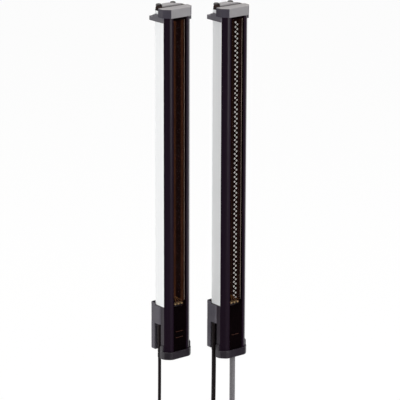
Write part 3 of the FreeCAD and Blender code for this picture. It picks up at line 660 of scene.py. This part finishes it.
def top_cap(stick):
    """Moulded top cap: a hood over the front, a plate over the profile and a raised bridge."""
    bm = bmesh.new()
    hood(bm, TOP_CAP_DEPTH, TOP_MOUTH_DEPTH, TOP_CAP_FOOT, CAP_TOP, True)
    # The sides and chamfers take the darker copy of the grey, which is painted shade.
    for face in bm.faces:
        if abs(face.normal.x) > 0.5 and face.calc_area() > 60:
            face.material_index = 2
    soften(bm, outer_corners(bm), 0.8)
    soften(bm, edges_where(bm.faces, lambda p: p.z > CAP_TOP - NEAR), 0.45)
    # The plate over the profile takes the black finish, darker than the hood.
    plate = both_sides([(16.4, TOP_CAP_DEPTH), (16.4, 19.9), (10.3, 26.6)])
    faces = prism(bm, plate, CAP_TOP - CAP_PLATE, CAP_TOP, "z", 1)
    soften(bm, edges_where(faces, lambda p: p.z > CAP_TOP - NEAR), 0.4)
    bridge = both_sides([(12.4, 13.6), (4.2, 25.3)])
    bridge_top = 380.0
    faces = prism(bm, bridge, 377.2, bridge_top)
    soften(bm, edges_where(faces, lambda p: p.z > bridge_top - NEAR), 0.5)
    finishes = ["cap_grey", "inner_black", "cap_painted_shade"]
    return make_piece(stick, "top_cap", bm, finishes, "top_end_cap")


def cap_screws(stick):
    """Two pan head screws with a socket in the head, which stand on the top cap."""
    head = [
        (0.0, 0.9), (1.25, 0.9), (1.3, 1.9), (1.6, 2.0), (2.4, 1.85), (2.95, 1.3), (3.1, 0.6), (3.1, 0.0),
        (1.45, 0.0), (1.45, -10.8), (0.9, -11.4), (0.0, -11.4),
    ]
    bm = bmesh.new()
    for side in (1, -1):
        lathe(bm, [(r, CAP_TOP + z) for r, z in head], (side * 9.2, 23.9), 24)
    return make_piece(stick, "top_screws", bm, ["screw_black"], "cap_screws")


def clamp(stick):
    """Strap round the back of the stick with stepped arms and a pad with the fixing hole."""
    inner, outer, foot = 17.03, 18.7, 364.3
    pad_back, pad_side, pad_middle, pad_reach = 29.0, 9.0, 366.0, 10.0
    bm = bmesh.new()
    arm = [
        (4.8, foot), (21.5, foot), (21.5, 371.0), (18.6, 371.0), (18.6, 372.2), (12.5, 372.2),
        (12.5, 369.3), (4.8, 369.3),
    ]
    strap = [
        (inner, 21.5), (outer, 21.5), (outer, 28.98), (pad_side, 28.98), (pad_side, 27.02), (inner, 27.02)
    ]
    for side in (1, -1):
        low, high = sorted((side * inner, side * outer))
        faces = prism(bm, arm, low, high, "x")
        soften(bm, edges_where(faces, lambda p: abs(p.x) > outer - NEAR and p.y < 21.4), 0.3, 2)
        faces = prism(bm, [(side * x, y) for x, y in strap], foot, 368.4)
        turn = edges_where(faces, lambda p: abs(p.x) > outer - NEAR and p.y > 28.9)
        soften(bm, [e for e in turn if upright(e)], 2.4, 5)
    low, high = pad_middle - pad_reach, pad_middle + pad_reach
    pad_outline = [(-pad_side, low), (pad_side, low), (pad_side, high), (-pad_side, high)]
    outer_edges = square(bm, [(x, pad_back, z) for x, z in pad_outline])
    facing = Matrix.Translation((0, pad_back, pad_middle)) @ QUARTER_TURN
    ring = bmesh.ops.create_circle(bm, cap_ends=False, segments=32, radius=2.75, matrix=facing)["verts"]
    hole_edges = list({edge for vert in ring for edge in vert.link_edges})
    sheet = bmesh.ops.bridge_loops(bm, edges=outer_edges + hole_edges)["faces"]
    grown = bmesh.ops.extrude_face_region(bm, geom=sheet, use_keep_orig=True)["geom"]
    bmesh.ops.translate(bm, vec=(0, -2.0, 0), verts=only(grown, bmesh.types.BMVert))
    bmesh.ops.recalc_face_normals(bm, faces=bm.faces)
    return make_piece(stick, "clamp", bm, ["clamp_grey"], "mounting_clamp")


def foot_cap(stick):
    """Tray under the front of the stick, with a rounded tab up each side."""
    bm = bmesh.new()
    hood(bm, FOOT_CAP_DEPTH, FOOT_MOUTH_DEPTH, 0.0, FOOT_CAP_TOP, False)
    soften(bm, outer_corners(bm), 2.8, 5)
    soften(bm, edges_where(bm.faces, lambda p: p.z < 0.01), 0.55)
    rim = edges_where(bm.faces, lambda p: p.z > FOOT_CAP_TOP - NEAR)
    soften(bm, [e for e in rim if not is_inner(e, FOOT_MOUTH_DEPTH)], 0.5)
    tab = [(5.9, 7.0), (10.7, 7.0), (10.7, 13.3), (9.3, 14.7), (7.3, 14.7), (5.9, 13.3)]
    tab_inner, tab_outer = 17.06, 18.7
    for side in (1, -1):
        low, high = sorted((side * tab_inner, side * tab_outer))
        faces = prism(bm, tab, low, high, "x")
        soften(bm, edges_where(faces, lambda p: abs(p.x) > tab_outer - NEAR and p.z > 7.1), 0.45)
    return make_piece(stick, "foot_cap", bm, ["foot_black"], "bottom_end_cap")


# --- Connector housing ------------------------------------------------------------------------------

def connector_block(stick):
    """Moulded foot: cheeks beside the profile's end, a collar behind it and a slot for a cable."""
    bm = bmesh.new()
    front_face = 5.55
    around = both_sides([(CHEEK, front_face), (CHEEK, 11.2), (18.2, 12.6), (18.2, 26.0), (16.2, 28.0)])
    faces = prism(bm, around, OUTLET_TOP, BLOCK_TOP)
    soften(bm, [e for e in edges_where(faces, lambda p: p.y > 11.0) if upright(e)], 0.6)
    outside = both_sides([(18.2, 19.4), (18.2, 26.0), (16.2, 28.0)])
    inside = both_sides([(17.5, 19.4), (17.5, 25.6), (15.8, 27.3)])
    profile_back = both_sides([(CHEEK, 19.4), (CHEEK, 20.1), (10.5, 27.0)])
    collar_top = 59.5
    faces = prism(bm, outside + inside[::-1], BLOCK_TOP, collar_top)
    soften(bm, edges_where(faces, lambda p: p.z > collar_top - NEAR), 0.15, 2)
    prism(bm, inside + profile_back[::-1], BLOCK_TOP, 57.5, "z", 1)
    # The cheeks beside the frame have a darker copy of the grey, which is painted shade.
    for face in bm.faces:
        if face.calc_center_median().y < 11.6 and abs(face.normal.x) > 0.9:
            face.material_index = 2
    slot_side = 12.4
    core = both_sides([(slot_side, front_face), (slot_side, 28.0)])
    faces = prism(bm, core, BLOCK_FOOT, OUTLET_TOP)
    soften(bm, edges_where(faces, lambda p: p.z < BLOCK_FOOT + NEAR and p.y > 27.9), 1.8)
    front = [(slot_side, front_face), (CHEEK, front_face), (CHEEK, 11.1), (slot_side, 11.6)]
    rear = [(slot_side, 20.8), (18.2, 20.8), (18.2, 26.0), (16.2, 28.0), (slot_side, 28.0)]
    for side in (1, -1):
        # The front part beside the slot takes the same painted shade.
        prism(bm, [(side * x, y) for x, y in front], 2.6, OUTLET_TOP, "z", 2)
        faces = prism(bm, [(side * x, y) for x, y in rear], BLOCK_FOOT, OUTLET_TOP)
        low = edges_where(faces, lambda p: p.z < BLOCK_FOOT + NEAR and (p.y > 25.5 or abs(p.x) > 18.1))
        soften(bm, low, 1.6)
    block(bm, (-CHEEK, front_face, STICK_FOOT), (CHEEK, 10.85, 8.0))
    bmesh.ops.recalc_face_normals(bm, faces=bm.faces)
    finishes = ["housing_grey", "inner_black", "housing_painted_shade"]
    return make_piece(stick, "connector_block", bm, finishes, "connector_housing")


# --- Cables -----------------------------------------------------------------------------------------

# A cable leaves its sleeve at its exit, bends at points that are given from there, and ends in its plug.
CABLES = {
    "sender": [
        {
            "tag": "",
            "diameter": 3.4,
            "sleeve": 4.6,
            "exit": (-15.3, 15.6, 0.0),
            "top": OUTLET_TOP,
            "bends": [(0, 0, -44.0), (-1.1, 0.9, -104.0), (-1.1, 0.9, -148.0)],
            "length": 0.148,
            "contacts": 5,
            "finish": "cable_black",
        }
    ],
    "receiver": [
        {
            "tag": "",
            "diameter": 4.7,
            "sleeve": 5.0,
            "exit": (-15.3, 18.0, 6.0),
            "top": OUTLET_TOP,
            "bends": [(0, 0, -46.0), (-1.0, 1.2, -104.0), (-1.0, 1.2, -150.0)],
            "length": 0.150,
            "contacts": 8,
            "finish": "cable_black",
        },
        {
            "tag": "_2",
            "diameter": 6.0,
            "sleeve": 7.0,
            "exit": (0.0, 5.45, -0.6),
            "top": STICK_FOOT,
            "bends": [(0, 0, -46.0), (0.9, 1.2, -106.0), (0.9, 1.2, -152.0)],
            "length": 0.152,
            "contacts": 4,
            "finish": "cable_grey",
        },
    ],
}


def strain_relief(stick, spec):
    """Moulded sleeve that narrows down to the cable, with rings round it."""
    x, y, foot = spec["exit"]
    top, wide, thin = spec["top"], spec["sleeve"] / 2, spec["diameter"] / 2 + 0.25
    outline = [(0.0, foot), (thin, foot), (thin + 0.05, foot + 0.4)]
    steps = 6 if top - foot > 10 else 0
    for k in range(steps):
        share = (k + 1) / steps
        z = foot + 0.6 + (top - foot - 1.0) * share * 0.6
        r = thin + (wide - thin) * share
        outline += [(r, z - 0.7), (r, z), (r - 0.18, z + 0.2), (r - 0.18, z + 0.7)]
    outline += [(wide, top - (top - foot) * (0.3 if steps else 0.8)), (wide, top), (0.0, top)]
    bm = bmesh.new()
    lathe(bm, outline, (x, y), 24)
    tag = spec["tag"]
    return make_piece(stick, "strain_relief" + tag, bm, ["cable_black"], "cable_sleeve" + tag)


def plug(stick, spec):
    """Round plug that hangs on the cable: grip, coupling nut, insert and contacts."""
    tag = spec["tag"]
    ex, ey, ez = spec["exit"]
    bx, by, bz = spec["bends"][-1]
    x, y, top = ex + bx, ey + by, ez + bz
    tail = spec["diameter"] / 2 + 1.3
    grip = [
        (0.0, top), (tail - 0.7, top), (tail, top - 0.7), (tail, top - 4.6), (4.9, top - 5.0),
        (5.7, top - 6.2),
    ]
    for k in range(6):
        z = top - 8.2 - 2.6 * k
        grip += [(5.7, z), (5.3, z - 0.25), (5.3, z - 1.1), (5.7, z - 1.35)]
    grip += [(5.7, top - 27.5), (5.3, top - 28.0), (4.7, top - 28.0), (4.7, top - 38.0), (0.0, top - 38.0)]
    bm = bmesh.new()
    lathe(bm, grip, (x, y), 32)
    body = make_piece(stick, "plug_grip" + tag, bm, ["plug_black"], "plug_body" + tag)

    bm = bmesh.new()
    ring = top - 28.0 - 0.1
    crest, valley, flutes = 7.25, 6.85, 30
    nut = [
        (4.85, ring), (6.7, ring), (crest, ring - 0.6), (crest, ring - 9.8), (6.7, ring - 10.5),
        (5.9, ring - 10.6),
    ]
    for k in range(9):
        z = ring - 11.2 - k
        nut += [(5.9, z), (5.55, z - 0.5)]
    nut += [(5.4, ring - 20.5), (4.85, ring - 20.5), (4.85, ring)]
    faces = lathe(bm, nut, (x, y), 2 * flutes)
    for vert in {vert for face in faces for vert in face.verts}:
        across = Vector((vert.co.x - x, vert.co.y - y))
        turn = round(math.atan2(across.y, across.x) / (math.pi / flutes))
        if abs(across.length - crest) < 0.01 and turn % 2:
            across *= valley / crest
            vert.co.x, vert.co.y = x + across.x, y + across.y
    coupling = make_piece(stick, "plug_coupling" + tag, bm, ["nickel"], "plug_nut" + tag)

    bm = bmesh.new()
    face_z = top - 44.0
    insert = [(0.0, top - 38.0), (4.3, top - 38.0), (4.3, face_z + 0.4), (3.9, face_z), (0.0, face_z)]
    lathe(bm, insert, (x, y), 32)
    carrier = make_piece(stick, "plug_face" + tag, bm, ["plug_black"], "plug_insert" + tag)

    bm = bmesh.new()
    pin = [(0.0, face_z), (0.5, face_z), (0.5, face_z - 3.9), (0.25, face_z - 4.5), (0.0, face_z - 4.5)]
    pin_circle = 2.75
    for k in range(spec["contacts"]):
        turn = 2 * math.pi * (k + 0.5) / spec["contacts"]
        lathe(bm, pin, (x + pin_circle * math.cos(turn), y + pin_circle * math.sin(turn)), 12)
    pins = make_piece(stick, "plug_contacts" + tag, bm, ["gold"], "plug_pins" + tag)
    return [body, coupling, carrier, pins]


def hanging_cable(stick, spec):
    """The cable itself, from its strain relief to its plug."""
    on_it = plug(stick, spec)
    ex, ey, ez = spec["exit"]
    route = [(ex, ey, ez)] + [(ex + x, ey + y, ez + z) for x, y, z in spec["bends"]]
    curve = bpy.data.curves.new(stick.name + "_lead" + spec["tag"], "CURVE")
    curve.dimensions = "3D"
    spline = curve.splines.new("NURBS")
    spline.points.add(len(route) - 1)
    for point, place in zip(spline.points, route):
        point.co = (*stick.at(*place), 1.0)
    spline.order_u = 3
    spline.use_endpoint_u = True
    spline.resolution_u = 16
    curve.bevel_depth = spec["diameter"] / 2 * MM
    curve.bevel_resolution = 6
    curve.use_fill_caps = True
    curve.materials.append(FINISH[spec["finish"]])
    lead = link_new(curve.name, curve)
    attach(lead, "root")
    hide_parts("%s_cable%s" % (stick.name, spec["tag"]))
    tuple(stick.at(ex, ey, ez))


# --- The CAD's own pieces that stay -------------------------------------------------------------------

KEPT = {
    "top_seal": "seal_rubber",
    "bottom_seal": "seal_rubber",
    "connector_seal": "seal_rubber",
    "connector_screws": "steel",
    "circuit_board": "board_green",
    "emitters": "chip",
    "photodiodes": "chip",
    "lens_strip": "clear",
}


def dress_kept(stick):
    """Gives its finish to each of these that the stick has: a sender has no photodiodes."""
    for label, finish_name in KEPT.items():
        node = bpy.data.objects.get("%s_%s" % (stick.name, label))
        if node is not None:
            node.data.materials.clear()
            node.data.materials.append(FINISH[finish_name])


# --- Studio -----------------------------------------------------------------------------------------

def seen_rays(tree):
    """One for rays from the camera and for those that metal and glass turn back, otherwise nought."""
    rays = tree.nodes.new("ShaderNodeLightPath")
    either = tree.nodes.new("ShaderNodeMath")
    either.operation = "MAXIMUM"
    any_of = tree.nodes.new("ShaderNodeMath")
    any_of.operation = "MAXIMUM"
    tree.links.new(rays.outputs["Is Camera Ray"], either.inputs[0])
    tree.links.new(rays.outputs["Is Glossy Ray"], either.inputs[1])
    tree.links.new(either.outputs[0], any_of.inputs[0])
    tree.links.new(rays.outputs["Is Transmission Ray"], any_of.inputs[1])
    return any_of.outputs[0]


# In metres: how far below the set the floor and the screen lie, their sizes, and the point lamps face.
FLOOR_BELOW = 0.03
FLOOR_SIZE = 6.0
SCREEN_BELOW, SCREEN_RADIUS, SCREEN_TOP = 0.026, 2.4, 2.2
SCREEN_MIDDLE = -0.12
AIM = (0.02, -0.03, -0.17)
SCREEN_STEPS = 24
FLOOR_SHOWN_WHITE = 0.96  # the share of its white that the floor shows by itself
WORLD_LIGHT = 0.12
WHITE, WARM = (1.0, 1.0, 1.0), (1.0, 0.94, 0.88)
# Each lamp: its place and its size in metres, its power in watts, its colour, and whether gloss shows it.
LAMPS = {
    "left_softbox": ((-1.77, -0.08, 0.35), (0.5, 1.0), 12.5, WHITE, True),
    "rear_softbox": ((-0.56, 1.85, 0.5), (0.7, 1.0), 11.0, WHITE, True),
    "front_right_softbox": ((1.25, -1.35, 0.85), (0.9, 0.9), 40.0, WHITE, False),
    "front_strip": ((-0.20, -1.7, 0.0), (0.6, 0.9), 14.0, WHITE, True),
    "top_softbox": ((0.1, 0.15, 1.6), (1.0, 1.0), 30.0, WARM, True),
}


def dark_screen():
    """Black cloth round the front of the studio, which only the gloss of the black faces shows."""
    low = cad_box[0][2] - SCREEN_BELOW
    outline = ((0.1, low), (SCREEN_RADIUS, low), (SCREEN_RADIUS, SCREEN_TOP))
    bm = bmesh.new()
    verts = [bm.verts.new((r, SCREEN_MIDDLE, z)) for r, z in outline]
    edges = [bm.edges.new(pair) for pair in zip(verts, verts[1:])]
    bmesh.ops.spin(
        bm, geom=verts + edges, cent=(0, SCREEN_MIDDLE, 0), axis=(0, 0, 1), angle=-math.pi,
        steps=SCREEN_STEPS, use_merge=False, use_duplicate=False,
    )
    mesh = bpy.data.meshes.new("dark_screen")
    bm.to_mesh(mesh)
    bm.free()
    matt = {"Roughness": 1.0, "Specular IOR Level": 0.0}
    mesh.materials.append(plain_finish("black_cloth", (0.004, 0.004, 0.004), matt)[0])
    screen = link_new("dark_screen", mesh)
    screen.visible_camera = False
    screen.visible_diffuse = False
    screen.visible_transmission = False
    screen.visible_shadow = False


def pale_floor():
    """A floor under the plugs that shows white and takes the shadow."""
    bm = bmesh.new()
    bmesh.ops.create_grid(bm, x_segments=1, y_segments=1, size=FLOOR_SIZE)
    bmesh.ops.translate(bm, vec=(0, 0, cad_box[0][2] - FLOOR_BELOW), verts=bm.verts)
    mesh = bpy.data.meshes.new("floor")
    bm.to_mesh(mesh)
    bm.free()
    material, diffuse = plain_finish("floor", (0.85, 0.85, 0.85), {"Roughness": 0.9})
    tree = material.node_tree
    glow = tree.nodes.new("ShaderNodeEmission")
    share = tree.nodes.new("ShaderNodeMath")
    share.operation = "MULTIPLY"
    share.inputs[1].default_value = FLOOR_SHOWN_WHITE
    mix = tree.nodes.new("ShaderNodeMixShader")
    tree.links.new(seen_rays(tree), share.inputs[0])
    tree.links.new(share.outputs[0], mix.inputs[0])
    tree.links.new(diffuse.outputs[0], mix.inputs[1])
    tree.links.new(glow.outputs[0], mix.inputs[2])
    tree.links.new(mix.outputs[0], tree.nodes["Material Output"].inputs["Surface"])
    mesh.materials.append(material)
    floor = link_new("floor", mesh)


def white_world():
    """A world that shows white and gives a little light."""
    world = bpy.data.worlds.new("studio")
    bpy.context.scene.world = world
    world.use_nodes = True
    tree = world.node_tree
    seen = tree.nodes["Background"]
    seen.inputs["Color"].default_value = (1, 1, 1, 1)
    light = tree.nodes.new("ShaderNodeBackground")
    light.inputs["Color"].default_value = (0.95, 0.97, 1.0, 1)
    light.inputs["Strength"].default_value = WORLD_LIGHT
    mix = tree.nodes.new("ShaderNodeMixShader")
    tree.links.new(seen_rays(tree), mix.inputs[0])
    tree.links.new(light.outputs[0], mix.inputs[1])
    tree.links.new(seen.outputs[0], mix.inputs[2])
    tree.links.new(mix.outputs[0], tree.nodes["World Output"].inputs["Surface"])


def lamps():
    """Soft lamps that all face the set."""
    for name, (place, size, power, color, in_gloss) in LAMPS.items():
        data = bpy.data.lights.new(name, "AREA")
        data.shape = "RECTANGLE"
        data.size, data.size_y = size
        data.energy = power
        data.color = color
        lamp = link_new(name, data)
        lamp.location = place
        lamp.visible_camera = False
        lamp.visible_glossy = in_gloss
        lamp.rotation_euler = (Vector(place) - Vector(AIM)).to_track_quat("Z", "Y").to_euler()


def build(name, painted_highlight):
    """One whole stick, whose lenses have a painted highlight or are plain dark."""
    stick = Stick(name)
    for spec in CABLES[name]:
        hanging_cable(stick, spec)
        strain_relief(stick, spec)
    profile(stick)
    front_surround(stick)
    window(stick)
    optics(stick, painted_highlight)
    status_lights(stick)
    top_cap(stick)
    cap_screws(stick)
    clamp(stick)
    foot_cap(stick)
    connector_block(stick)
    dress_kept(stick)


studio_camera()
build("sender", False)
build("receiver", True)
pale_floor()
white_world()
lamps()
dark_screen()
bpy.context.scene.view_settings.view_transform = "Standard"
